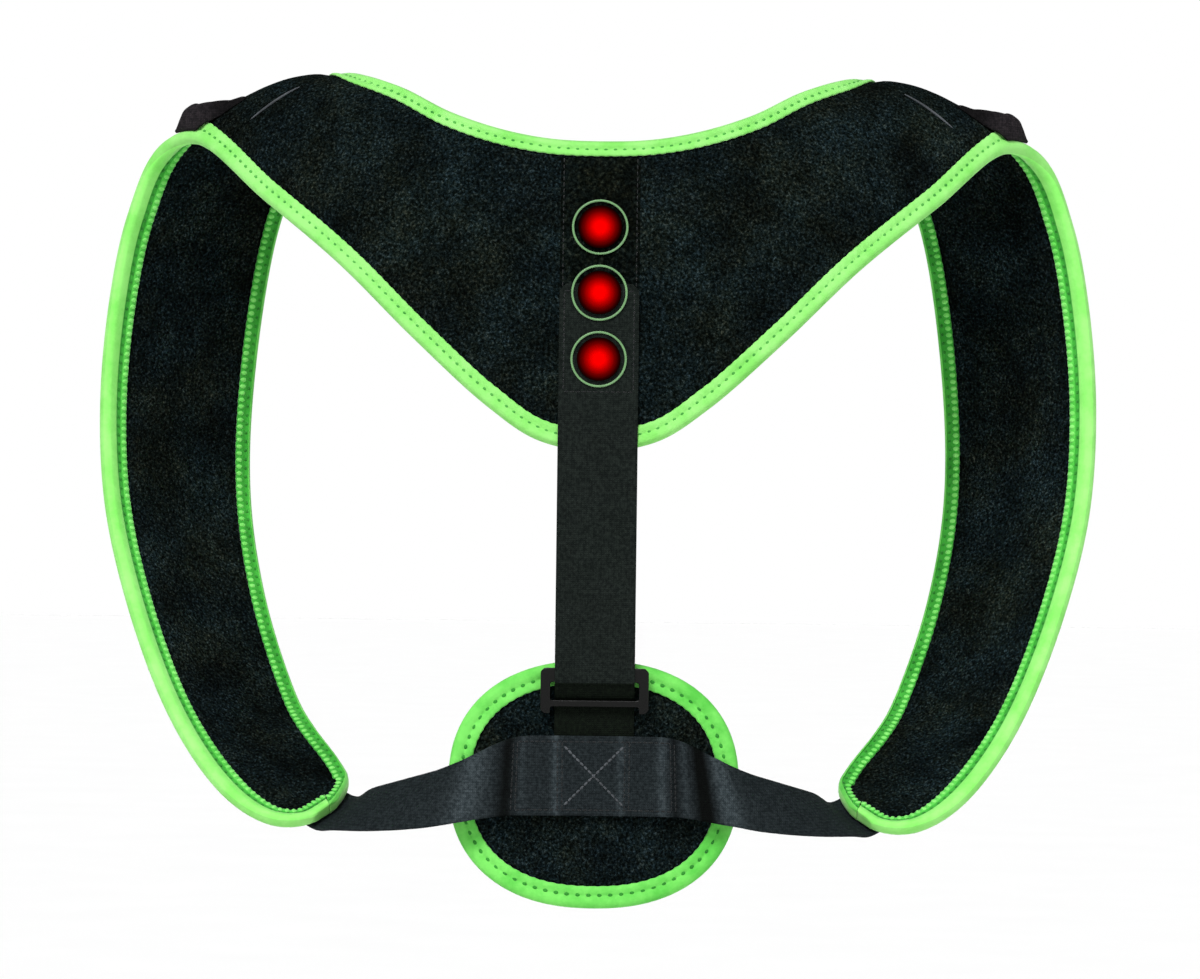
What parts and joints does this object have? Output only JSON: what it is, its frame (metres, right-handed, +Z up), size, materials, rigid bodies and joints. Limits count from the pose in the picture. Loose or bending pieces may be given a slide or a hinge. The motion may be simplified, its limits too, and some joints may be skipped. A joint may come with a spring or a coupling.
{
  "type": "posture corrector",
  "caption": "Worn back brace: neoprene yoke and shoulder straps bound in bright tape, with a webbing spine strap, slider, oval lumbar pad and band.",
  "frame": {"origin": "midway between the two shoulder seats, at the height where the straps rest on the wearer's shoulders", "axes": "+X towards the wearer's right, +Y forwards with the yoke on the back at -Y, +Z up"},
  "size_m": [0.4958, 0.1809, 0.4024],
  "materials": {
    "neoprene": "black brushed plush over neoprene foam, matt",
    "binding": "lime knitted binding tape, soft sheen",
    "webbing": "charcoal woven webbing, slight sheen",
    "pile": "black loop pile, matt",
    "slider": "black moulded plastic, half gloss",
    "button": "bright red, dark towards the rim",
    "ring": "pale green, satin"
  },
  "bodies": {
    "root": {"back_yoke": "neoprene", "shoulder_strap_right": "neoprene", "shoulder_strap_left": "neoprene", "armhole_binding": "binding", "neck_binding": "binding", "centre_strip": "pile", "spine_strap": "webbing", "slider_buckle": "slider", "lumbar_pad": "neoprene", "lumbar_binding": "binding", "lumbar_band": "webbing", "shoulder_tab_right": "webbing", "shoulder_tab_left": "webbing", "magnet_button_1": "button", "magnet_button_2": "button", "magnet_button_3": "button", "magnet_ring_1": "ring", "magnet_ring_2": "ring", "magnet_ring_3": "ring"}
  },
  "joints": []
}
